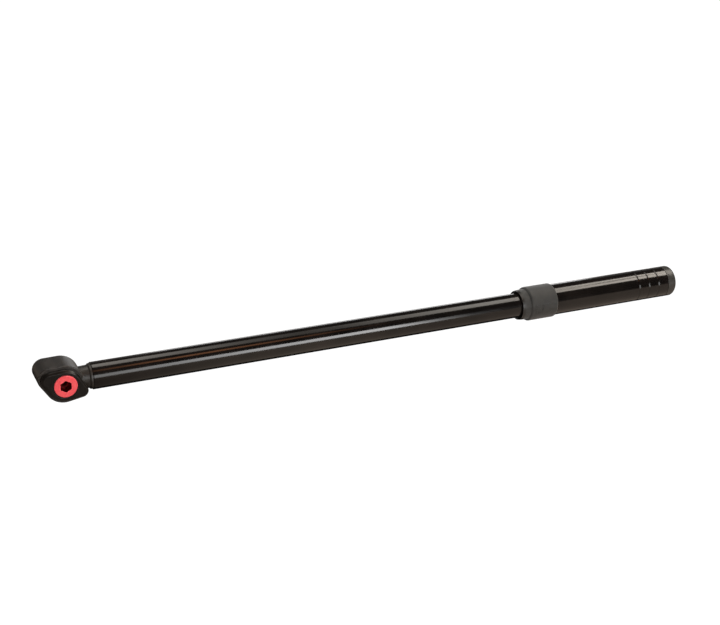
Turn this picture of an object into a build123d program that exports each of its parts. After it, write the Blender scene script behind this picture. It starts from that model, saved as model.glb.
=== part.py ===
from build123d import *
import math
import os

# Telescoping 1/2 inch drive breaker bar, in millimetres.
# +X runs along the bar from the head to the handle, +Y is the way the square drive points
# and +Z is up. The origin is on the drive's axis, at the shoulder that the square stands on.

# ---- driving dimensions -------------------------------------------------------------------
# head: a forged block with the outline of an eye, a lobe either side of the drive boss.
# Each lobe is given by its centre's X and Z from the drive's axis, and its radius.
boss_radius = 15.6
upper_lobe = (-11.6, 6.2, 9.2)
lower_lobe = (13.1, -8.2, 5.3)
head_front = 8.6            # from the bar's centre line to the head's front face
head_back = 15.2            # from the bar's centre line to the head's back face
head_back_round = 1.2
head_front_round = 0.8

# front cover, smaller than the head, on a smaller step that leaves a shadow gap
cover_boss_radius = 13.2
cover_upper_lobe = (-11.9, 5.9, 6.6)
cover_lower_lobe = (12.5, -6.8, 5.2)
cover_plate = 3.4
cover_bevel = 1.6
cover_gap = 0.8
cover_step = 1.6            # how far the step is set in from the cover's outline
dowel_radius = 1.5
dowel_length = 4.4
dowel_stand = 1.7           # how far each dowel stands into the cover

# neck and spigot, forged in one with the head
neck_start_radius = 8.6
neck_end_radius = 9.4
neck_end = 20.0
shoulder_radius = 10.4
tube_start = 22.6
spigot_length = 46.0

# square drive
drive_square = 12.7
drive_length = 14.5
drive_bevel = 1.2
drive_shoulder_radius = 11.2
drive_shoulder = 1.5
shank_square = 14.6
bolt_thread_radius = 5.6
bolt_thread_depth = 10.5

# detent ball in the drive's upper face
ball_radius = 2.2
ball_stand = 0.9
ball_travel = 1.1
ball_from_tip = 6.2
spring_wire = 0.5
spring_coil_radius = 1.5
spring_turns = 4
detent_hole_depth = 8.6

# red flanged bolt that draws the drive into the head
flange_radius = 9.2
flange_thickness = 2.0
flange_stand = 0.5          # how far the flange stands out of the cover
flange_bevel = 0.5
hex_across_flats = 8.5
hex_depth = 7.8
bolt_bore_radius = 2.4
seal_width = 0.7

# bar tube and the guide piston in its far end
tube_radius = 11.1
tube_wall = 2.6
tube_end_round = 0.5
piston_head_length = 12.0
piston_spigot_length = 22.0
piston_pin_radius = 2.0

# handle sleeve, with three grip grooves before the end cap
handle_radius = 14.2
handle_wall = 2.0
handle_start = 434.0        # the sleeve's mouth, with the handle pulled fully out
handle_length = 135.6
groove_count = 3
groove_pitch = 10.8
groove_from_end = 11.1
groove_width = 1.8
groove_depth = 0.5

# twist-lock collar round the mouth of the handle
collar_radius = 15.5
collar_ahead = 14.0         # how far the collar stands in front of the sleeve's mouth
collar_over = 13.6          # how far it reaches over the sleeve
collar_front_wall = 2.0
collar_edge_round = 1.6
mouth_length = 8.0
mouth_radius = 13.95
mouth_wall = 1.1
mouth_bevel = 0.7
collet_length = 11.0
collet_slots = 4
collet_slot_width = 1.2
sleeve_web = 7.0            # stretch of the threaded sleeve that fills the bore
sleeve_spigot_length = 14.0
wiper_length = 2.0

# plain pad and grip ribs moulded on the collar's near side
pad_angle = 5.0             # degrees below the near side's middle
pad_from_end = 11.8         # from the pad's middle to the collar's handle end
pad_length = 9.0
pad_width = 10.0
pad_height = 0.35
rib_count = 3
rib_pitch = 2.1
rib_from_pad = 2.2
rib_width = 0.8

# end cap
cap_length = 9.8
cap_bevel = 3.2
cap_plug_length = 6.0
cap_ring_radius = 0.9

# fits
press_gap = 0.02            # pieces driven into each other
running_gap = 0.08          # pieces that slide or turn on each other
loose_gap = 0.3             # pieces that only pass each other

# ---- worked out from the driving dimensions ------------------------------------------------
cover_lobes = (cover_upper_lobe, cover_lower_lobe)
cover_back = -(head_front + cover_gap)
cover_front = cover_back - cover_plate
drive_face = head_back + drive_shoulder
flange_front = cover_front - flange_stand
flange_back = flange_front + flange_thickness
tube_bore = tube_radius - tube_wall
handle_bore = handle_radius - handle_wall
handle_end = handle_start + handle_length
collar_start = handle_start - collar_ahead
collar_end = handle_start + collar_over
sleeve_web_start = handle_start - sleeve_web
collet_start = sleeve_web_start - collet_length
sleeve_spigot_end = handle_start + sleeve_spigot_length
piston_start = sleeve_spigot_end + loose_gap
tube_end = piston_start
collar_bore = handle_radius + loose_gap
pad_middle = collar_end - pad_from_end
mouth_start = collar_start - mouth_length
mouth_bore = mouth_radius - mouth_wall
cap_start = handle_end
detent_y = drive_face + drive_length - ball_from_tip
ball_centre = drive_square / 2 + ball_stand - ball_radius


def turned(profile):
    """Solid of revolution about the bar's centre line, from (x, radius) points."""
    return revolve(make_face(Polyline(*[(x, r) for x, r in profile], close=True)), Axis.X)


def ring(start, end, outer, inner):
    """Plain ring on the bar's centre line."""
    return turned([(start, inner), (start, outer), (end, outer), (end, inner)])


def across(radius, start, end, x=0.0, z=0.0):
    """Cylinder along Y from start to end."""
    return Pos(x, start, z) * Rot(-90, 0, 0) * Cylinder(
        radius, end - start, align=(Align.CENTER, Align.CENTER, Align.MIN))


def block_across(side, start, end):
    """Square bar along Y from start to end, on the drive's axis."""
    return Pos(0, start, 0) * Box(side, end - start, side, align=(Align.CENTER, Align.MIN, Align.CENTER))


def eye_outline(boss, lobes, inset):
    """Face with an eye's outline in XZ: the boss and its lobes, joined by tangent lines."""
    boss -= inset
    face = Circle(boss)
    for x, z, radius in lobes:
        lobe = radius - inset
        heading = math.atan2(z, x)
        lean = math.acos((boss - lobe) / math.hypot(x, z))
        points = []
        for angle, order in ((heading + lean, 1), (heading - lean, -1)):
            side = math.cos(angle), math.sin(angle)
            ends = [(boss * side[0], boss * side[1]), (x + lobe * side[0], z + lobe * side[1])]
            points += ends[::order]
        face += make_face(Polyline(*points, close=True))
        face += Pos(x, z) * Circle(lobe)
    return face


def eye_block(boss, lobes, inset, start, end):
    """An eye's outline drawn out along Y from start to end."""
    sketch = Plane(origin=(0, end, 0), x_dir=(1, 0, 0), z_dir=(0, -1, 0)) * eye_outline(boss, lobes, inset)
    return extrude(sketch, amount=end - start)


def edges_at(shape, y):
    """Edges that lie in the plane Y = y."""
    return shape.edges().filter_by_position(Axis.Y, y - 0.01, y + 0.01)


def head_forging():
    block = eye_block(boss_radius, (upper_lobe, lower_lobe), 0, -head_front, head_back)
    block = fillet(edges_at(block, head_back), head_back_round)
    block = fillet(edges_at(block, -head_front), head_front_round)
    step_start = cover_back
    block += eye_block(cover_boss_radius, cover_lobes, cover_step, step_start, -head_front)
    block += turned([(0, 0), (0, neck_start_radius), (neck_end, neck_end_radius),
                     (neck_end + 1.0, shoulder_radius), (tube_start, shoulder_radius),
                     (tube_start, tube_bore - press_gap),
                     (tube_start + spigot_length - 1.5, tube_bore - press_gap),
                     (tube_start + spigot_length, tube_bore - press_gap - 1.5),
                     (tube_start + spigot_length, 0)])
    block -= block_across(shank_square + 2 * press_gap, step_start - 1, head_back + 1)
    for x, z, _ in cover_lobes:
        seat = dowel_length - dowel_stand + loose_gap
        block -= across(dowel_radius + press_gap, cover_back - 1, cover_back + seat, x, z)
    return block


def cover():
    plate = eye_block(cover_boss_radius, cover_lobes, 0, cover_front, cover_back)
    plate = chamfer(edges_at(plate, cover_front), cover_bevel)
    plate -= across(flange_radius + seal_width + press_gap, cover_front - 1, flange_back)
    plate -= across(shank_square / 2 + loose_gap, cover_front, cover_back + 1)
    for x, z, _ in cover_lobes:
        plate -= across(dowel_radius + press_gap, cover_back - dowel_stand, cover_back + 1, x, z)
    return plate


def cover_dowel_pair():
    start = cover_back - dowel_stand + press_gap
    pins = []
    for x, z, _ in cover_lobes:
        pins.append(chamfer(across(dowel_radius, start, start + dowel_length, x, z).edges(), 0.3))
    return Part() + pins


def drive_anvil():
    shank = block_across(shank_square, cover_back + loose_gap, head_back)
    shoulder = across(drive_shoulder_radius, head_back, drive_face)
    square = block_across(drive_square, drive_face, drive_face + drive_length)
    square = chamfer(square.edges().filter_by(Axis.Y), 0.8)
    square = chamfer(edges_at(square, drive_face + drive_length), drive_bevel)
    anvil = shank + chamfer(edges_at(shoulder, drive_face), 0.5) + square
    start = cover_back + loose_gap
    anvil -= across(bolt_thread_radius + press_gap, start - 1, start + bolt_thread_depth)
    hole = Pos(0, detent_y, drive_square / 2 + 1) * Cylinder(
        ball_radius + running_gap, detent_hole_depth + 1, align=(Align.CENTER, Align.CENTER, Align.MAX))
    return anvil - hole


def detent_ball():
    return Pos(0, detent_y, ball_centre) * Sphere(ball_radius)


def detent_spring():
    reach = ball_radius + spring_wire / 2 + press_gap
    top = ball_centre - math.sqrt(reach ** 2 - spring_coil_radius ** 2)
    bottom = drive_square / 2 - detent_hole_depth + spring_wire / 2 + press_gap
    path = Helix((top - bottom) / spring_turns, top - bottom, spring_coil_radius)
    wire = Plane(origin=path @ 0, z_dir=path % 0) * Circle(spring_wire / 2)
    return Pos(0, detent_y, bottom) * sweep(wire, path, is_frenet=True)


def drive_bolt():
    flange = across(flange_radius, flange_front, flange_back)
    flange = chamfer(edges_at(flange, flange_front), flange_bevel)
    start = cover_back + loose_gap
    shank = across(bolt_thread_radius, flange_back - 0.2, start + bolt_thread_depth - loose_gap)
    floor = Plane(origin=(0, flange_front + hex_depth, 0), x_dir=(0, 0, 1), z_dir=(0, -1, 0))
    key = floor * RegularPolygon(hex_across_flats / 2, 6, major_radius=False)
    bolt = flange + shank - extrude(key, amount=hex_depth + 1)
    return bolt - across(bolt_bore_radius, flange_front, start + bolt_thread_depth + 1)


def bolt_seal():
    outer = across(flange_radius + seal_width, cover_front + 0.2, flange_back - press_gap)
    return outer - across(flange_radius + press_gap, cover_front, flange_back + 1)


def bar_tube():
    tube = ring(tube_start, tube_end, tube_radius, tube_bore)
    outer_start = tube.edges().filter_by_position(Axis.X, tube_start - 0.01, tube_start + 0.01)
    tube = fillet(outer_start.sort_by(SortBy.LENGTH)[-1:], tube_end_round)
    pin_x = tube_end - piston_spigot_length / 2
    return tube - Pos(pin_x, 0, 0) * Cylinder(piston_pin_radius + press_gap, 4 * tube_radius)


def guide_piston():
    head = handle_bore - running_gap
    spigot = tube_bore - press_gap
    start, end = tube_end - piston_spigot_length, tube_end + piston_head_length
    piston = turned([(start, 0), (start, spigot - 1), (start + 1, spigot), (tube_end, spigot),
                     (tube_end, head - 0.6), (tube_end + 0.6, head), (end - 0.8, head), (end, head - 0.8),
                     (end, 0)])
    pin_x = tube_end - piston_spigot_length / 2
    return piston - Pos(pin_x, 0, 0) * Cylinder(piston_pin_radius + press_gap, 4 * tube_radius)


def piston_pin():
    pin_x = tube_end - piston_spigot_length / 2
    pin = Cylinder(piston_pin_radius, 2 * tube_radius - 1.2)
    pin -= Cylinder(piston_pin_radius - 0.8, 3 * tube_radius)
    slot = Pos(piston_pin_radius, 0, 0) * Box(2 * piston_pin_radius, 0.7, 3 * tube_radius)
    return Pos(pin_x, 0, 0) * (pin - slot)


def handle_sleeve():
    sleeve = ring(handle_start, handle_end, handle_radius, handle_bore)
    for number in range(groove_count):
        middle = handle_end - groove_from_end - number * groove_pitch
        half = groove_width / 2
        sleeve -= turned([(middle - half, handle_radius + 1), (middle - half, handle_radius),
                          (middle - half * 0.4, handle_radius - groove_depth),
                          (middle + half * 0.4, handle_radius - groove_depth),
                          (middle + half, handle_radius), (middle + half, handle_radius + 1)])
    return sleeve


def threaded_sleeve():
    inner = tube_radius + loose_gap
    return turned([(collar_start + collar_front_wall + loose_gap, mouth_bore + running_gap),
                   (collar_start + collar_front_wall + loose_gap, handle_radius),
                   (handle_start, handle_radius), (handle_start, handle_bore - press_gap),
                   (sleeve_spigot_end, handle_bore - press_gap), (sleeve_spigot_end, inner),
                   (sleeve_web_start, inner), (sleeve_web_start, mouth_bore + running_gap)])


def collet():
    start, end = collet_start, sleeve_web_start
    inner, outer = tube_radius + running_gap, mouth_bore - running_gap
    body = turned([(start, inner), (start, outer - 0.7), (start + 3, outer), (end, outer), (end, inner)])
    for number in range(collet_slots):
        slot = Pos((start + end) / 2 - 2, 0, tube_radius) * Box(collet_length, collet_slot_width, 8)
        body -= Rot(45 + number * 360 / collet_slots, 0, 0) * slot
    return body


def lock_collar():
    edge, bevel = collar_edge_round, 0.8
    collar = turned([(collar_start, mouth_bore + running_gap), (collar_start, collar_radius - bevel),
                     (collar_start + bevel, collar_radius), (collar_end - edge, collar_radius),
                     (collar_end - edge * 0.3, collar_radius - edge * 0.3),
                     (collar_end, collar_bore + 0.3), (collar_end, collar_bore),
                     (collar_start + collar_front_wall, collar_bore),
                     (collar_start + collar_front_wall, mouth_bore + running_gap)])
    return collar


def mouth_ring():
    inner = mouth_bore
    return turned([(mouth_start, inner + 0.3), (mouth_start, mouth_radius - mouth_bevel),
                   (mouth_start + mouth_bevel, mouth_radius), (collar_start, mouth_radius),
                   (collar_start, inner), (mouth_start + 0.3, inner)])


def wiper_seal():
    start = collet_start - loose_gap - wiper_length
    return turned([(start, tube_radius + running_gap), (start + wiper_length / 2, mouth_bore - press_gap),
                   (start + wiper_length, mouth_bore - press_gap), (start + wiper_length, tube_radius + 0.9),
                   (start + 0.6, tube_radius + running_gap)])


def collar_pad():
    """Blank pad, a thin curved plate bonded to the collar."""
    start, end = pad_middle - pad_length / 2, pad_middle + pad_length / 2
    shell = ring(start, end, collar_radius + pad_height, collar_radius + press_gap)
    window = Pos(pad_middle, -collar_radius, 0) * Box(pad_length, 2 * collar_radius, pad_width)
    window = fillet(window.edges().filter_by(Axis.Y), 3.0)
    return Rot(pad_angle, 0, 0) * (shell & window)


def collar_ribs():
    """Short raised bars beside the pad, which show how far the collar is turned."""
    ribs = []
    for number in range(rib_count):
        x = pad_middle - pad_length / 2 - rib_from_pad - number * rib_pitch
        start, end = x - rib_width / 2, x + rib_width / 2
        shell = ring(start, end, collar_radius + pad_height, collar_radius + press_gap)
        window = Pos(x, -collar_radius, 0) * Box(pad_length, 2 * collar_radius, pad_width)
        ribs.append(Rot(pad_angle, 0, 0) * (shell & window))
    return Part() + ribs


def end_cap():
    plug = handle_bore - press_gap
    groove = handle_bore - 2 * cap_ring_radius + 0.3
    middle = cap_start - cap_plug_length / 2
    return turned([(cap_start - cap_plug_length, 0), (cap_start - cap_plug_length, plug - 0.5),
                   (cap_start - cap_plug_length + 0.5, plug), (middle - cap_ring_radius, plug),
                   (middle - cap_ring_radius, groove), (middle + cap_ring_radius, groove),
                   (middle + cap_ring_radius, plug), (cap_start + 0.35, plug),
                   (cap_start + 0.35, handle_radius - 0.15), (cap_start + 0.6, handle_radius),
                   (cap_start + cap_length - cap_bevel, handle_radius),
                   (cap_start + cap_length - cap_bevel * 0.25, handle_radius - cap_bevel * 0.6),
                   (cap_start + cap_length, handle_radius - cap_bevel), (cap_start + cap_length, 0)])


def cap_ring():
    middle = cap_start - cap_plug_length / 2
    bottom = handle_bore - 2 * cap_ring_radius + 0.3
    return ring(middle - cap_ring_radius + 0.1, middle + cap_ring_radius - 0.1,
                handle_bore - press_gap, bottom + press_gap)


pieces = {
    "head_forging": head_forging,
    "head_cover": cover,
    "cover_dowels": cover_dowel_pair,
    "drive_anvil": drive_anvil,
    "detent_ball": detent_ball,
    "detent_spring": detent_spring,
    "drive_bolt": drive_bolt,
    "bolt_seal": bolt_seal,
    "bar_tube": bar_tube,
    "guide_piston": guide_piston,
    "piston_pin": piston_pin,
    "handle_sleeve": handle_sleeve,
    "threaded_sleeve": threaded_sleeve,
    "collet": collet,
    "lock_collar": lock_collar,
    "mouth_ring": mouth_ring,
    "wiper_seal": wiper_seal,
    "collar_pad": collar_pad,
    "collar_ribs": collar_ribs,
    "end_cap": end_cap,
    "cap_ring": cap_ring,
}

os.makedirs("parts", exist_ok=True)
for name, make in pieces.items():
    export_step(Pos(0, -drive_face, 0) * make(), f"parts/{name}.step")
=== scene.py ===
import math
import bmesh
import bpy
from mathutils import Matrix, Vector


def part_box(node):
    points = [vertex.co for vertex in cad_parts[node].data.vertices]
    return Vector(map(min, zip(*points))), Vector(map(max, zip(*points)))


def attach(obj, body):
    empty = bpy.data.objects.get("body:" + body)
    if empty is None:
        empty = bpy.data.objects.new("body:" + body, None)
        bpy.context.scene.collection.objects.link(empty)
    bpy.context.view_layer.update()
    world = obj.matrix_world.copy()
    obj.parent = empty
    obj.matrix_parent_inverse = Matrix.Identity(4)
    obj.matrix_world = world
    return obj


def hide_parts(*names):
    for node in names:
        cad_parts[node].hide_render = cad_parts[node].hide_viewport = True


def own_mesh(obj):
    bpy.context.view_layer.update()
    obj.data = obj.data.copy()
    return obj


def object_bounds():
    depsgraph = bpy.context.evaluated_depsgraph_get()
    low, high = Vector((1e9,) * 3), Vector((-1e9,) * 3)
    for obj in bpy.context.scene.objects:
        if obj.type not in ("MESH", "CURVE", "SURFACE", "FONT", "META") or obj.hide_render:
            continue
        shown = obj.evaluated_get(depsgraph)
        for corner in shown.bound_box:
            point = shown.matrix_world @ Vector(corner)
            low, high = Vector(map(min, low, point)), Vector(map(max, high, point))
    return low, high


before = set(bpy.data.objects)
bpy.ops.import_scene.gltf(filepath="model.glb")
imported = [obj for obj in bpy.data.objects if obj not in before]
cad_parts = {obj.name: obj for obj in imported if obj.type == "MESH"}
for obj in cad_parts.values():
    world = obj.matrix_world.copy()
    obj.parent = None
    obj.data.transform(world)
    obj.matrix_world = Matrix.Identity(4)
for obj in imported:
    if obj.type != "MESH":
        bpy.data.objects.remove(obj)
cad_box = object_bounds()

# The bar tube is a 7/8 inch drawn steel tube, cut square and pressed over the head's spigot.
# Its outside is gloss black powder coat, which gathers a little at the broken end edges.
MM = 0.001
AROUND = 160             # facets round a turned piece, fine enough for a gloss highlight
SAME_POINT = 1e-7        # points of a turned piece closer than this are one point
CREASE = 40.0            # edges that turn by more degrees than this stay sharp to the light
tube_low, tube_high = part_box("bar_tube")
bar_y = (tube_low.y + tube_high.y) / 2
tube_radius = (tube_high.z - tube_low.z) / 2
tube_wall = 2.6 * MM
tube_edge = 0.45 * MM
powder_black = "#0b0908"
powder_haze = "#161210"


def linear(hex_colour):
    """Linear RGBA from an sRGB hex colour."""
    channels = [int(hex_colour[i:i + 2], 16) / 255 for i in (1, 3, 5)]
    return [c / 12.92 if c <= 0.04045 else ((c + 0.055) / 1.055) ** 2.4 for c in channels] + [1.0]


def add(tree, kind, settings=None, **feeds):
    """Adds a node. Settings are its properties or its sockets' values; feeds are sockets that
    other nodes' outputs go to, with _ for a space in the socket's name."""
    node = tree.nodes.new("ShaderNode" + kind)
    for key, value in (settings or {}).items():
        if hasattr(node, key):
            setattr(node, key, value)
        else:
            node.inputs[key].default_value = value
    for key, source in feeds.items():
        tree.links.new(source, node.inputs[key.replace("_", " ")])
    return node


def start_material(name, settings):
    """A material with one Principled shader, and the object coordinates that its patterns read."""
    material = bpy.data.materials.new(name)
    material.use_nodes = True
    shader = material.node_tree.nodes["Principled BSDF"]
    for key, value in settings.items():
        shader.inputs[key].default_value = value
    place = add(material.node_tree, "TexCoord").outputs["Object"]
    return material, material.node_tree, shader, place


def shade(tree, shader, factor, colours, roughness):
    """Lets a 0 to 1 pattern move the shader between two colours and two roughness values.
    The colours change over the middle of the pattern's range, where a noise has its values."""
    tone = add(tree, "ValToRGB", Fac=factor)
    for stop, position, colour in zip(tone.color_ramp.elements, (0.35, 0.7), colours):
        stop.position = position
        stop.color = linear(colour)
    tree.links.new(tone.outputs["Color"], shader.inputs["Base Color"])
    gloss = add(tree, "MapRange", {"To Min": roughness[0], "To Max": roughness[1]}, Value=factor)
    tree.links.new(gloss.outputs["Result"], shader.inputs["Roughness"])


def bevel_sharp(shape, width, angle=25.0, segments=3):
    """Rounds every edge that turns by more than angle degrees."""
    sharp = [edge for edge in shape.edges if len(edge.link_faces) == 2
             and edge.calc_face_angle(0) > math.radians(angle)]
    bmesh.ops.bevel(shape, geom=sharp, offset=width, offset_type="OFFSET", affect="EDGES",
                    segments=segments, profile=0.5, material=-1, clamp_overlap=True)


def make_piece(name, node, shape, body, material):
    """Turns a bmesh into a smooth-shaded piece that rides on a body and stands for a CAD node."""
    bmesh.ops.recalc_face_normals(shape, faces=shape.faces)
    mesh = bpy.data.meshes.new(name)
    shape.to_mesh(mesh)
    shape.free()
    mesh.shade_smooth()
    mesh.set_sharp_from_angle(angle=math.radians(CREASE))
    mesh.materials.append(material)
    piece = bpy.data.objects.new(name, mesh)
    bpy.context.scene.collection.objects.link(piece)
    # long faces keep their own true normals, and only the rounded edges bend the light
    true_faces = piece.modifiers.new("true_faces", "WEIGHTED_NORMAL")
    true_faces.mode = "FACE_AREA"
    true_faces.weight = 50
    true_faces.keep_sharp = True
    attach(piece, body)
    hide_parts(node)
    return piece


def turned(outline, edge=0.0, edge_angle=25.0):
    """A shape turned on the bar's centre line from a closed loop of (x, radius) points."""
    shape = bmesh.new()
    loop = [shape.verts.new((x, 0, max(radius, 0))) for x, radius in outline]
    sides = [shape.edges.new(pair) for pair in zip(loop, loop[1:] + loop[:1])
             if pair[0].co.z > 0 or pair[1].co.z > 0]
    bmesh.ops.spin(shape, geom=loop + sides, cent=(0, 0, 0), axis=(1, 0, 0), angle=math.tau,
                   steps=AROUND, use_merge=True)
    bmesh.ops.remove_doubles(shape, verts=shape.verts, dist=SAME_POINT)
    bmesh.ops.translate(shape, verts=shape.verts, vec=(0, bar_y, 0))
    if edge:
        bevel_sharp(shape, edge, edge_angle)
    return shape


# what the eye gets: a deep black mirror with a soft, very slightly rippled edge to each highlight
haze_patch = 25 * MM     # cloudiness left by the cure
ripple_crest = 1.5 * MM  # cured powder ripples, crest to crest; they are a few microns deep
scuff_size = (0.4 * MM, 9 * MM, 9 * MM)  # fine scuffs run round the tube, rubbed by hands
powder_coat, tree, shader, place = start_material("steel_gloss_black_powder_coat", {"IOR": 1.5})
haze = add(tree, "TexNoise", {"Scale": 1 / haze_patch, "Detail": 4.0}, Vector=place).outputs["Fac"]
shade(tree, shader, haze, (powder_black, powder_haze), (0.10, 0.17))
ripple = add(tree, "TexNoise", {"Scale": 1 / ripple_crest, "Detail": 1.0}, Vector=place)
scuff_place = add(tree, "Mapping", {"Scale": [1 / size for size in scuff_size]}, Vector=place)
scuffs = add(tree, "TexNoise", {"Scale": 1.0, "Detail": 2.0}, Vector=scuff_place.outputs["Vector"])
wavy = add(tree, "Bump", {"Strength": 0.25, "Distance": 0.006 * MM}, Height=ripple.outputs["Fac"])
worn = add(tree, "Bump", {"Strength": 0.10, "Distance": 0.004 * MM}, Height=scuffs.outputs["Fac"],
           Normal=wavy.outputs["Normal"])
tree.links.new(worn.outputs["Normal"], shader.inputs["Normal"])

tube_bore = tube_radius - tube_wall
tube_outline = [(tube_low.x, tube_bore), (tube_low.x, tube_radius),
                (tube_high.x, tube_radius), (tube_high.x, tube_bore)]
make_piece("bar_tube_coated", "bar_tube", turned(tube_outline, tube_edge), "bar",
           powder_coat)

# The handle sleeve is a thinner, larger tube in the same coat, which slides on the bar tube.
# Three grip grooves are rolled into it near the cap, so their shoulders are rounded, not cut.
sleeve_low, sleeve_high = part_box("handle_sleeve")
sleeve_radius = (sleeve_high.z - sleeve_low.z) / 2
sleeve_wall = 2.0 * MM
sleeve_bore = sleeve_radius - sleeve_wall
sleeve_edge = 0.3 * MM
END_CORNER = 60.0        # a profile that is already rounded is bevelled at square corners only
groove_from_end = 11.1 * MM
groove_pitch = 10.8 * MM
groove_width = 1.9 * MM
groove_depth = 0.38 * MM
groove_steps = 10
sleeve_outline = [(sleeve_low.x, sleeve_bore), (sleeve_low.x, sleeve_radius)]
for groove in (2, 1, 0):
    middle = sleeve_high.x - groove_from_end - groove * groove_pitch
    for step in range(groove_steps + 1):
        turn = math.tau * step / groove_steps
        sleeve_outline.append((middle + groove_width * (step / groove_steps - 0.5),
                               sleeve_radius - groove_depth * (1 - math.cos(turn)) / 2))
sleeve_outline += [(sleeve_high.x, sleeve_radius), (sleeve_high.x, sleeve_bore)]
make_piece("handle_sleeve_coated", "handle_sleeve", turned(sleeve_outline, sleeve_edge, END_CORNER),
           "handle", powder_coat)

# The lock collar is moulded nylon with a soft-touch coat. It screws on the sleeve's mouth and
# closes the collet on the bar tube when it is turned. Its ends are rounded for the hand.
collar_low, collar_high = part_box("lock_collar")
collar_radius = (collar_high.z - collar_low.z) / 2
collar_bore = sleeve_radius + 0.3 * MM
collar_edge = 0.1 * MM
mouth_bore = 12.85 * MM
collar_front_wall = 2.0 * MM
collar_front_round = 2.2 * MM
collar_back_round = 1.5 * MM
round_steps = 7
soft_grey = "#262625"
soft_grey_worn = "#2f2f2d"


def rounded(x, radius, size, way):
    """Quarter-round from the side of a turned piece to its end, at x. Way is 1 for an end that
    faces the cap and -1 for one that faces the head."""
    return [(x - way * size * (1 - math.sin(math.pi / 2 * s / round_steps)),
             radius - size * (1 - math.cos(math.pi / 2 * s / round_steps)))
            for s in range(round_steps + 1)]


# what the eye gets: an even dark grey with no highlight line, only a fine spark-eroded grain
soft_patch = 6 * MM      # where hands have polished the coat
eroded_grain = 0.35 * MM
soft_touch, tree, shader, place = start_material("nylon_soft_touch_moulded", {
    "IOR": 1.45, "Sheen Weight": 0.15, "Sheen Roughness": 0.5})
patches = add(tree, "TexNoise", {"Scale": 1 / soft_patch, "Detail": 3.0}, Vector=place)
shade(tree, shader, patches.outputs["Fac"], (soft_grey, soft_grey_worn), (0.62, 0.72))
grain = add(tree, "TexNoise", {"Scale": 1 / eroded_grain, "Detail": 2.0}, Vector=place)
grain_bump = add(tree, "Bump", {"Strength": 0.45, "Distance": 0.03 * MM},
                 Height=grain.outputs["Fac"])
tree.links.new(grain_bump.outputs["Normal"], shader.inputs["Normal"])

front_wall_x = collar_low.x + collar_front_wall
collar_outline = [(front_wall_x, mouth_bore), (collar_low.x, mouth_bore)]
collar_outline += rounded(collar_low.x, collar_radius, collar_front_round, -1)[::-1]
collar_outline += rounded(collar_high.x, collar_radius, collar_back_round, 1)
collar_outline += [(collar_high.x, collar_bore), (front_wall_x, collar_bore)]
make_piece("lock_collar_moulded", "lock_collar", turned(collar_outline, collar_edge, END_CORNER),
           "collar", soft_touch)

# The mouth ring is a bush of the collar's nylon, pressed into the collar's front and tapered
# towards the bar tube. Its lip is shinier, because the tube burnishes it as it slides, and is
# coloured near black as painted shade of the collar's mouth.
mouth_low, mouth_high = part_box("mouth_ring")
mouth_radius = (mouth_high.z - mouth_low.z) / 2
mouth_edge = 0.05 * MM
mouth_lead_in = 0.3 * MM   # the bore's chamfer, which guides the tube in
mouth_lead_length = 0.4 * MM
mouth_taper = 0.7 * MM
lip_length = 2.4 * MM
lip_radius = mouth_radius - mouth_taper
lip_painted_shade_black = "#161514"
lip_painted_shade_worn = "#201f1d"
WAVE_LENGTH = 0.314      # a wave texture repeats this often at a scale of 1
# what the eye gets: a dull black band, whose black is painted shade of the collar's mouth, with the
# faint rings that the lathe left on the mould
lip_patch = 4 * MM
mould_ring = 0.6 * MM    # distance between rings along the bar
burnished_lip_painted_shade, tree, shader, place = start_material("nylon_burnished_lip_painted_shade", {"IOR": 1.5})
patches = add(tree, "TexNoise", {"Scale": 1 / lip_patch, "Detail": 3.0}, Vector=place)
shade(tree, shader, patches.outputs["Fac"], (lip_painted_shade_black, lip_painted_shade_worn), (0.38, 0.5))
rings = add(tree, "TexWave", {"wave_type": "BANDS", "bands_direction": "X",
                              "Scale": WAVE_LENGTH / mould_ring, "Distortion": 0.4}, Vector=place)
ring_bump = add(tree, "Bump", {"Strength": 0.3, "Distance": 0.02 * MM}, Height=rings.outputs["Fac"])
tree.links.new(ring_bump.outputs["Normal"], shader.inputs["Normal"])

mouth_outline = [(mouth_high.x, mouth_bore), (mouth_low.x + mouth_lead_length, mouth_bore),
                 (mouth_low.x, mouth_bore + mouth_lead_in)]
mouth_outline += rounded(mouth_low.x, lip_radius, lip_radius - mouth_bore - mouth_lead_in, -1)[::-1]
mouth_outline += [(mouth_low.x + lip_length, mouth_radius - mouth_taper / 2),
                  (mouth_high.x, mouth_radius)]
mouth = make_piece("mouth_ring_moulded", "mouth_ring",
                   turned(mouth_outline, mouth_edge, END_CORNER), "collar", soft_touch)
mouth.data.materials.append(burnished_lip_painted_shade)
# the lip's faces get the near-black material, which paints the shade of the collar's mouth onto
# them
for face in mouth.data.polygons:
    if face.center.x < mouth_low.x + lip_length:
        face.material_index = 1

# A plain pad and three short bars are moulded proud of the collar, on the same side as the head's
# bolt. They show at a glance how far the collar is turned.
relief_edge = 0.12 * MM
MERGE = 1e-6             # a CAD mesh is loose triangles, whose shared points lie closer than this
FLAT = 0.5               # neighbouring triangles within this many degrees are one flat face


def copied(node, edge, segments=2):
    """A CAD node's mesh, merged and with its flat faces joined, and its sharp edges broken."""
    shape = bmesh.new()
    shape.from_mesh(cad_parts[node].data)
    bmesh.ops.remove_doubles(shape, verts=shape.verts, dist=MERGE)
    bmesh.ops.dissolve_limit(shape, angle_limit=math.radians(FLAT), verts=shape.verts,
                             edges=shape.edges)
    if edge:
        bevel_sharp(shape, edge, segments=segments)
    return shape


for node in ("collar_pad", "collar_ribs"):
    make_piece(node + "_moulded", node, copied(node, relief_edge), "collar",
               soft_touch)

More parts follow.
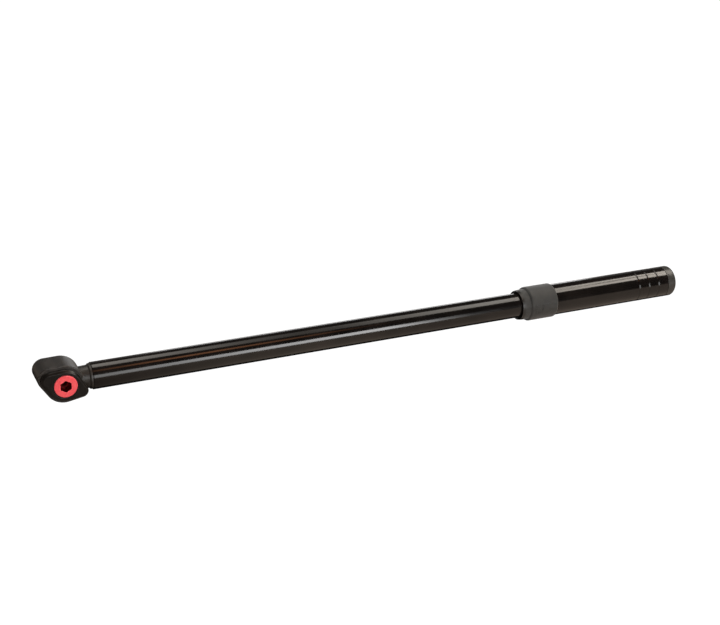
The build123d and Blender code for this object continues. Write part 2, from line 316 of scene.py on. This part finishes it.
# The end cap is moulded in the collar's grey nylon. Its plug holds it in the sleeve by a rubber
# ring, and a hairline seam shows where it meets the sleeve.
plug_low, cap_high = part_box("end_cap")
cap_radius = (cap_high.z - plug_low.z) / 2
plug_radius = sleeve_bore - 0.05 * MM
seam_x = sleeve_high.x + 0.35 * MM
cap_lip = 0.15 * MM      # the small chamfer beside the seam
cap_lip_length = 0.2 * MM
cap_round = 3.1 * MM
cap_dome = 0.35 * MM     # how far the cap's end stands out in the middle
cap_grey = "#2a2927"
cap_grey_worn = "#33322f"
# what the eye gets: the collar's grey, but smoother, with a soft light along its upper side
cap_patch = 6 * MM
satin_grain = 0.3 * MM   # the real grain is about 0.25 mm, drawn a little coarser so that it shows
cap_nylon, tree, shader, place = start_material("nylon_satin_moulded", {"IOR": 1.5})
patches = add(tree, "TexNoise", {"Scale": 1 / cap_patch, "Detail": 3.0}, Vector=place)
shade(tree, shader, patches.outputs["Fac"], (cap_grey, cap_grey_worn), (0.34, 0.44))
satin = add(tree, "TexNoise", {"Scale": 1 / satin_grain, "Detail": 2.0}, Vector=place)
satin_bump = add(tree, "Bump", {"Strength": 0.2, "Distance": 0.015 * MM},
                 Height=satin.outputs["Fac"])
tree.links.new(satin_bump.outputs["Normal"], shader.inputs["Normal"])

cap_outline = [(plug_low.x, 0), (plug_low.x, plug_radius), (seam_x, plug_radius),
               (seam_x, cap_radius - cap_lip), (seam_x + cap_lip_length, cap_radius)]
cap_outline += rounded(cap_high.x - cap_dome, cap_radius, cap_round, 1)
cap_outline += [(cap_high.x - cap_dome * 0.25, (cap_radius - cap_round) * 0.5), (cap_high.x, 0)]
make_piece("end_cap_moulded", "end_cap", turned(cap_outline), "handle", cap_nylon)

# The head is a steel forging, shot-blasted and black oxided, then oiled: the eye-shaped block, the
# neck and the spigot inside the tube are one piece. The square shank hole is broached through it.
oxide_black = "#191613"
oxide_warm = "#2a2520"
forged_edge = 0.35 * MM
# what the eye gets: a warm near-black satin, faintly mottled, over the dimples of the blasting
oxide_mottle = 5 * MM
blast_dimple = 0.4 * MM  # real dimples are about 0.25 mm, drawn coarser so that they show
forged_skin = 3 * MM     # the forging's own unevenness
black_oxide, tree, shader, place = start_material("steel_forged_black_oxide", {"IOR": 1.6})
mottle = add(tree, "TexNoise", {"Scale": 1 / oxide_mottle, "Detail": 5.0}, Vector=place)
shade(tree, shader, mottle.outputs["Fac"], (oxide_black, oxide_warm), (0.36, 0.50))
dimples = add(tree, "TexVoronoi", {"Scale": 1 / blast_dimple}, Vector=place)
skin = add(tree, "TexNoise", {"Scale": 1 / forged_skin, "Detail": 2.0}, Vector=place)
dimple_bump = add(tree, "Bump", {"Strength": 0.25, "Distance": 0.02 * MM},
                  Height=dimples.outputs["Distance"])
skin_bump = add(tree, "Bump", {"Strength": 0.35, "Distance": 0.06 * MM}, Height=skin.outputs["Fac"],
                Normal=dimple_bump.outputs["Normal"])
tree.links.new(skin_bump.outputs["Normal"], shader.inputs["Normal"])
make_piece("head_forging_blasted", "head_forging", copied("head_forging", forged_edge),
           "bar", black_oxide)

# The cover is a plate machined all over and black oxided, so it is smoother than the forging. Two
# dowels locate it, and the red bolt's flange, which sits in its counterbore, clamps it.
cover_edge = 0.3 * MM
plate_black = "#0f0d0b"
plate_warm = "#191512"
# what the eye gets: a smoother, darker satin than the forging, with a soft line along each bevel
plate_cloud = 8 * MM
grinding_lay = (6 * MM, 2 * MM, 0.3 * MM)  # ground along the bar; real lines are 0.2 mm apart
plate_oxide, tree, shader, place = start_material("steel_machined_black_oxide", {"IOR": 1.5})
cloud = add(tree, "TexNoise", {"Scale": 1 / plate_cloud, "Detail": 4.0}, Vector=place)
shade(tree, shader, cloud.outputs["Fac"], (plate_black, plate_warm), (0.24, 0.34))
lay_place = add(tree, "Mapping", {"Scale": [1 / size for size in grinding_lay]}, Vector=place)
lay = add(tree, "TexNoise", {"Scale": 1.0, "Detail": 2.0}, Vector=lay_place.outputs["Vector"])
lay_bump = add(tree, "Bump", {"Strength": 0.2, "Distance": 0.01 * MM}, Height=lay.outputs["Fac"])
tree.links.new(lay_bump.outputs["Normal"], shader.inputs["Normal"])
make_piece("head_cover_machined", "head_cover", copied("head_cover", cover_edge, segments=3),
           "bar", plate_oxide)

# The drive is one steel piece: a square shank broached into the head, a round shoulder and the
# 1/2 inch square that sockets go on. It is machined and black oxided like the cover.
drive_edge = 0.25 * MM
make_piece("drive_anvil_machined", "drive_anvil", copied("drive_anvil", drive_edge),
           "bar", plate_oxide)

# The red bolt is turned aluminium, anodised red. Its flange clamps the cover, and a hex key goes in
# its socket. The lathe leaves fine rings round the flange.
bolt_edge = 0.15 * MM
anodised_red = "#ff6468"
anodised_deep = "#fa565c"
# what the eye gets: an even, bright coral red, satin because the dyed layer scatters the light
dye_bloom = 3 * MM
lathe_ring = 0.45 * MM   # real rings are 0.1 mm apart, drawn coarser so that they show
red_anodised, tree, shader, place = start_material("aluminium_turned_red_anodised",
                                                   {"Metallic": 0.1})
bloom = add(tree, "TexNoise", {"Scale": 1 / dye_bloom, "Detail": 3.0}, Vector=place)
shade(tree, shader, bloom.outputs["Fac"], (anodised_deep, anodised_red), (0.28, 0.38))
rings = add(tree, "TexWave", {"wave_type": "RINGS", "rings_direction": "Y",
                              "Scale": WAVE_LENGTH / lathe_ring, "Distortion": 0.3}, Vector=place)
ring_bump = add(tree, "Bump", {"Strength": 0.2, "Distance": 0.015 * MM},
                Height=rings.outputs["Fac"])
tree.links.new(ring_bump.outputs["Normal"], shader.inputs["Normal"])
bolt = make_piece("drive_bolt_turned", "drive_bolt", copied("drive_bolt", bolt_edge),
                  "bar", red_anodised)

# what the eye gets: a deep, almost black red. The broached walls of the socket are rough, and their
# dark colour is painted shade of the deep socket over the red dye, uneven by a noise
socket_red_painted_shade = "#8e1418"
socket_deep_painted_shade = "#3a0607"
socket_shade_patch = 2 * MM
broached, tree, shader, place = start_material("aluminium_broached_red_anodised_painted_shade", {
    "Metallic": 0.6, "Specular IOR Level": 0.3})
socket_shade_noise = add(tree, "TexNoise", {"Scale": 1 / socket_shade_patch, "Detail": 3.0}, Vector=place)
shade(tree, shader, socket_shade_noise.outputs["Fac"], (socket_deep_painted_shade, socket_red_painted_shade), (0.45, 0.6))
bolt.data.materials.append(broached)
socket_reach = 5.1 * MM  # just past the hexagon's corners
socket_rim_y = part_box("drive_bolt")[0].y + 0.2 * MM
# the socket's faces get the darker material, which paints the socket's shade onto them
for face in bolt.data.polygons:
    if math.hypot(face.center.x, face.center.z) < socket_reach and face.center.y > socket_rim_y:
        face.material_index = 1

# The seals are black nitrile rubber: a ring round the bolt's flange, the wiper at the collar's
# mouth and the ring in the end cap's groove.
rubber_black = "#0e0e0e"
rubber_bloom = "#191919"
# what the eye gets: dead black lines with no highlight
rubber_dust = 2 * MM
rubber_pore = 0.3 * MM
rubber, tree, shader, place = start_material("nitrile_rubber_moulded", {"IOR": 1.45})
dust = add(tree, "TexNoise", {"Scale": 1 / rubber_dust, "Detail": 4.0}, Vector=place)
shade(tree, shader, dust.outputs["Fac"], (rubber_black, rubber_bloom), (0.6, 0.8))
pores = add(tree, "TexNoise", {"Scale": 1 / rubber_pore, "Detail": 1.0}, Vector=place)
pore_bump = add(tree, "Bump", {"Strength": 0.3, "Distance": 0.02 * MM}, Height=pores.outputs["Fac"])
tree.links.new(pore_bump.outputs["Normal"], shader.inputs["Normal"])
for node, body, edge in (("bolt_seal", "bar", 0.1 * MM), ("wiper_seal", "collar", 0.1 * MM),
                         ("cap_ring", "handle", 0.3 * MM)):
    make_piece(node + "_finished", node, copied(node, edge), body, rubber)

# The guide piston and the collet are natural dark nylon, turned from bar, and run inside the
# sleeve. The piston is pinned in the tube's end, and the collet sits in the sleeve's mouth.
nylon_dark = "#6d6961"
nylon_light = "#857f75"
# what the eye gets: a dull, slightly waxy grey-brown with fine turning rings
nylon_tint = 7 * MM
tool_mark = 0.5 * MM     # distance between marks along the bar
guide_nylon, tree, shader, place = start_material("nylon_natural_turned", {
    "IOR": 1.53, "Subsurface Weight": 0.05, "Subsurface Scale": 1.0 * MM})
tint = add(tree, "TexNoise", {"Scale": 1 / nylon_tint, "Detail": 3.0}, Vector=place)
shade(tree, shader, tint.outputs["Fac"], (nylon_dark, nylon_light), (0.4, 0.55))
marks = add(tree, "TexWave", {"wave_type": "BANDS", "bands_direction": "X",
                              "Scale": WAVE_LENGTH / tool_mark, "Distortion": 0.5}, Vector=place)
mark_bump = add(tree, "Bump", {"Strength": 0.3, "Distance": 0.02 * MM}, Height=marks.outputs["Fac"])
tree.links.new(mark_bump.outputs["Normal"], shader.inputs["Normal"])
for node, body, edge in (("guide_piston", "bar", 0.3 * MM), ("collet", "handle", 0.15 * MM)):
    make_piece(node + "_finished", node, copied(node, edge), body, guide_nylon)

# The dowels, the roll pin and the detent ball are plain hardened steel, ground bright. The dowels
# and the pin are pressed into their holes, and the ball stands a little out of the drive's square.
steel_bright = "#b9bbbd"
steel_shade = "#8f9193"
# what the eye gets: clean grey metal with faint grinding streaks
steel_streak = 1.5 * MM
grinding_line = 0.25 * MM  # real lines are about 0.15 mm apart, drawn coarser so that they show
ground_steel, tree, shader, place = start_material("steel_hardened_ground", {"Metallic": 1.0})
streak = add(tree, "TexNoise", {"Scale": 1 / steel_streak, "Detail": 3.0}, Vector=place)
shade(tree, shader, streak.outputs["Fac"], (steel_shade, steel_bright), (0.15, 0.3))
lines = add(tree, "TexNoise", {"Scale": 1 / grinding_line, "Detail": 1.0}, Vector=place)
line_bump = add(tree, "Bump", {"Strength": 0.1, "Distance": 0.01 * MM}, Height=lines.outputs["Fac"])
tree.links.new(line_bump.outputs["Normal"], shader.inputs["Normal"])
for node, body, edge in (("cover_dowels", "bar", 0.1 * MM), ("piston_pin", "bar", 0.1 * MM),
                         ("detent_ball", "ball", 0)):
    make_piece(node + "_finished", node, copied(node, edge), body, ground_steel)

# The threaded sleeve that the collar screws on is turned aluminium, left bare. It is fixed in the
# handle sleeve's mouth.
aluminium_light = "#c4c5c6"
aluminium_dull = "#a7a9aa"
thread_edge = 0.2 * MM
# what the eye gets: pale grey metal with thread-like turning rings
dull_patch = 5 * MM
thread_pitch = 1.0 * MM
bare_aluminium, tree, shader, place = start_material("aluminium_turned_bare", {"Metallic": 1.0})
dull = add(tree, "TexNoise", {"Scale": 1 / dull_patch, "Detail": 3.0}, Vector=place)
shade(tree, shader, dull.outputs["Fac"], (aluminium_dull, aluminium_light), (0.25, 0.4))
thread = add(tree, "TexWave", {"wave_type": "BANDS", "bands_direction": "X",
                               "Scale": WAVE_LENGTH / thread_pitch}, Vector=place)
thread_bump = add(tree, "Bump", {"Strength": 0.5, "Distance": 0.1 * MM},
                  Height=thread.outputs["Fac"])
tree.links.new(thread_bump.outputs["Normal"], shader.inputs["Normal"])
make_piece("threaded_sleeve_finished", "threaded_sleeve", copied("threaded_sleeve", thread_edge),
           "handle", bare_aluminium)

# The detent spring is a small coil of the same steel, which stands in a hole in the drive and
# pushes the ball out. It shortens when the ball is pressed in.
spring = make_piece("detent_spring_wound", "detent_spring", copied("detent_spring", 0),
                    "bar", ground_steel)
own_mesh(spring)

# The bar lies on a plain white light table. The table itself shows at full white, and the bar
# mirrors the dimmer cards just under it. The strip left between the two cards under the bar mirrors
# as a painted contact shadow.
table_z = cad_box[0].z
under_table = table_z - 1 * MM


def flat_sheet(name, middle, size, tilt=0.0, turn=0.0):
    """A rectangle of length and width, tilted about its long side and then turned about Z."""
    shape = bmesh.new()
    bmesh.ops.create_grid(shape, x_segments=1, y_segments=1, size=0.5)
    bmesh.ops.scale(shape, verts=shape.verts, vec=(size[0], size[1], 1))
    tilted = Matrix.Rotation(math.radians(tilt), 4, "X")
    turned_about = Matrix.Rotation(math.radians(turn), 4, "Z")
    bmesh.ops.transform(shape, matrix=Matrix.Translation(middle) @ turned_about @ tilted,
                        verts=shape.verts)
    mesh = bpy.data.meshes.new(name)
    shape.to_mesh(mesh)
    shape.free()
    sheet = bpy.data.objects.new(name, mesh)
    bpy.context.scene.collection.objects.link(sheet)
    return sheet


table = flat_sheet("light_table", (0, 0, table_z), (80, 80))
table.visible_glossy = False
table.visible_diffuse = False
table_white = start_material("acrylic_white_lit", {
    "Base Color": (0, 0, 0, 1), "Roughness": 1.0,
    "Emission Color": (1, 1, 1, 1), "Emission Strength": 1.05})[0]
table.data.materials.append(table_white)


def light_card(name, middle, size, glow, stops, colour="#ffffff", tilt=0.0, turn=0.0):
    """A lit sheet that only the bar sees. Its glow varies along X by (x, share of glow) stops."""
    sheet = flat_sheet(name, middle, size, tilt, turn)
    sheet.visible_camera = False
    sheet.visible_shadow = False
    material, tree, shader, place = start_material(name, {
        "Base Color": (0, 0, 0, 1), "Specular IOR Level": 0.0, "Roughness": 1.0,
        "Emission Strength": glow})
    first, last = stops[0][0], stops[-1][0]
    along = add(tree, "SeparateXYZ", Vector=place).outputs["X"]
    share = add(tree, "MapRange", {"From Min": first, "From Max": last}, Value=along)
    ramp = add(tree, "ValToRGB", Fac=share.outputs["Result"])
    tint = linear(colour)[:3]
    elements = ramp.color_ramp.elements
    for x, part in stops:
        where = (x - first) / (last - first)
        # a new element moves the others along, so each end is only fetched when it is its turn
        element = elements[0] if where == 0 else elements[-1] if where == 1 else elements.new(where)
        element.color = [c * part for c in tint] + [1.0]
    tree.links.new(ramp.outputs["Color"], shader.inputs["Emission Color"])
    sheet.data.materials.append(material)
    return sheet


# the overhead softbox runs askew to the bar, so its band wanders a little along the tube
light_card("overhead_softbox_head_end", (0.64, 0.14, 1.20), (1.45, 0.66), 8.0, (
    (0.05, 0.40), (0.28, 0.42), (0.40, 0.30), (0.53, 0.13), (0.67, 0.06), (0.81, 0.25),
    (0.95, 0.46), (1.07, 0.60), (1.10, 0.0)), "#fff8ee", turn=-31.5)
light_card("overhead_softbox_handle_end", (1.50, -0.10, 1.20), (0.82, 0.80), 9.5, (
    (1.09, 0.62), (1.30, 0.85), (1.91, 1.0)), "#fff5e8")
# a low softbox in front gives the thin bright line along the tube's middle
light_card("front_softbox", (0.55, bar_y - 1.2, 0.23), (1.0, 0.50), 12.0, (
    (0.10, 0.22), (0.28, 0.30), (0.40, 0.42), (0.53, 0.66), (0.67, 0.76), (0.82, 1.0),
    (0.90, 0.20), (1.0, 0.0)), tilt=90)
light_card("warm_reflector", (0.50, bar_y - 0.65, 1.0), (0.56, 0.25), 3.0, (
    (0.22, 0.15), (0.40, 1.0), (0.53, 0.7), (0.67, 0.25), (0.76, 0.0)), "#ffaf7c", tilt=33)
# the two cards leave a dark strip under the bar, a painted contact shadow in the bar's reflection
light_card("front_table_card", (0.4, bar_y - 0.753, under_table), (2.4, 1.49), 0.9, (
    (-0.10, 0.16), (0.02, 0.20), (0.06, 0.40), (0.12, 0.60), (0.22, 0.80), (0.33, 0.58),
    (0.42, 0.66), (0.50, 0.66)), "#ffead7")
light_card("back_table_card", (0.4, bar_y + 0.88, under_table), (2.4, 1.49), 0.5, (
    (-0.10, 0.8), (0.50, 1.0)), "#ffead7")
# the fills light the matte pieces from all round, and leave no highlight on the gloss ones
even = ((-2.0, 1.0), (2.5, 1.0))
fill = light_card("front_fill", (-0.25, bar_y - 1.4, 0.55), (0.9, 0.8), 5.5, even, tilt=70)
fill.visible_glossy = False
light_card("back_softbox", (0.80, bar_y + 1.2, 0.22), (0.90, 0.24), 3.5, (
    (0.35, 0.6), (1.25, 1.0)), tilt=90)
for name, middle, size, tilt, turn in (
        ("back_fill", (0.20, bar_y + 1.4, 0.8), (1.4, 0.9), -60, 0),
        ("handle_end_fill", (1.7, bar_y + 0.3, 0.5), (0.9, 0.9), 70, 90),
        ("head_end_fill", (-1.1, bar_y + 0.3, 0.5), (0.9, 0.9), 70, -90)):
    fill = light_card(name, middle, size, 4.0, even, tilt=tilt, turn=turn)
    fill.visible_glossy = False
light_card("back_wall_card", (0.4, bar_y + 1.6, 0.5), (3.0, 1.0), 0.18, even, tilt=90)

world = bpy.data.worlds.new("studio_dark")
world.use_nodes = True
world.node_tree.nodes["Background"].inputs["Color"].default_value = (0.02, 0.02, 0.02, 1)
bpy.context.scene.world = world
bpy.context.scene.view_settings.view_transform = "Standard"

# The camera stands where it sees the bolt's side from a little above, with the head nearest.
view_turn = math.radians(23.98)
view_dip = math.radians(21.53)
view_roll = math.radians(0.2)
view_from = (-0.1683, bar_y - 0.9557, 0.4300)
camera = bpy.data.cameras.new("camera")
camera.sensor_width = 36
camera.lens = 65.47
ahead = Vector((math.sin(view_turn) * math.cos(view_dip), math.cos(view_turn) * math.cos(view_dip),
                -math.sin(view_dip)))
eye = bpy.data.objects.new("camera", camera)
eye.location = view_from
eye.rotation_euler = ahead.to_track_quat("-Z", "Y").to_euler()
eye.rotation_euler.rotate_axis("Z", view_roll)
bpy.context.scene.collection.objects.link(eye)
bpy.context.scene.camera = eye
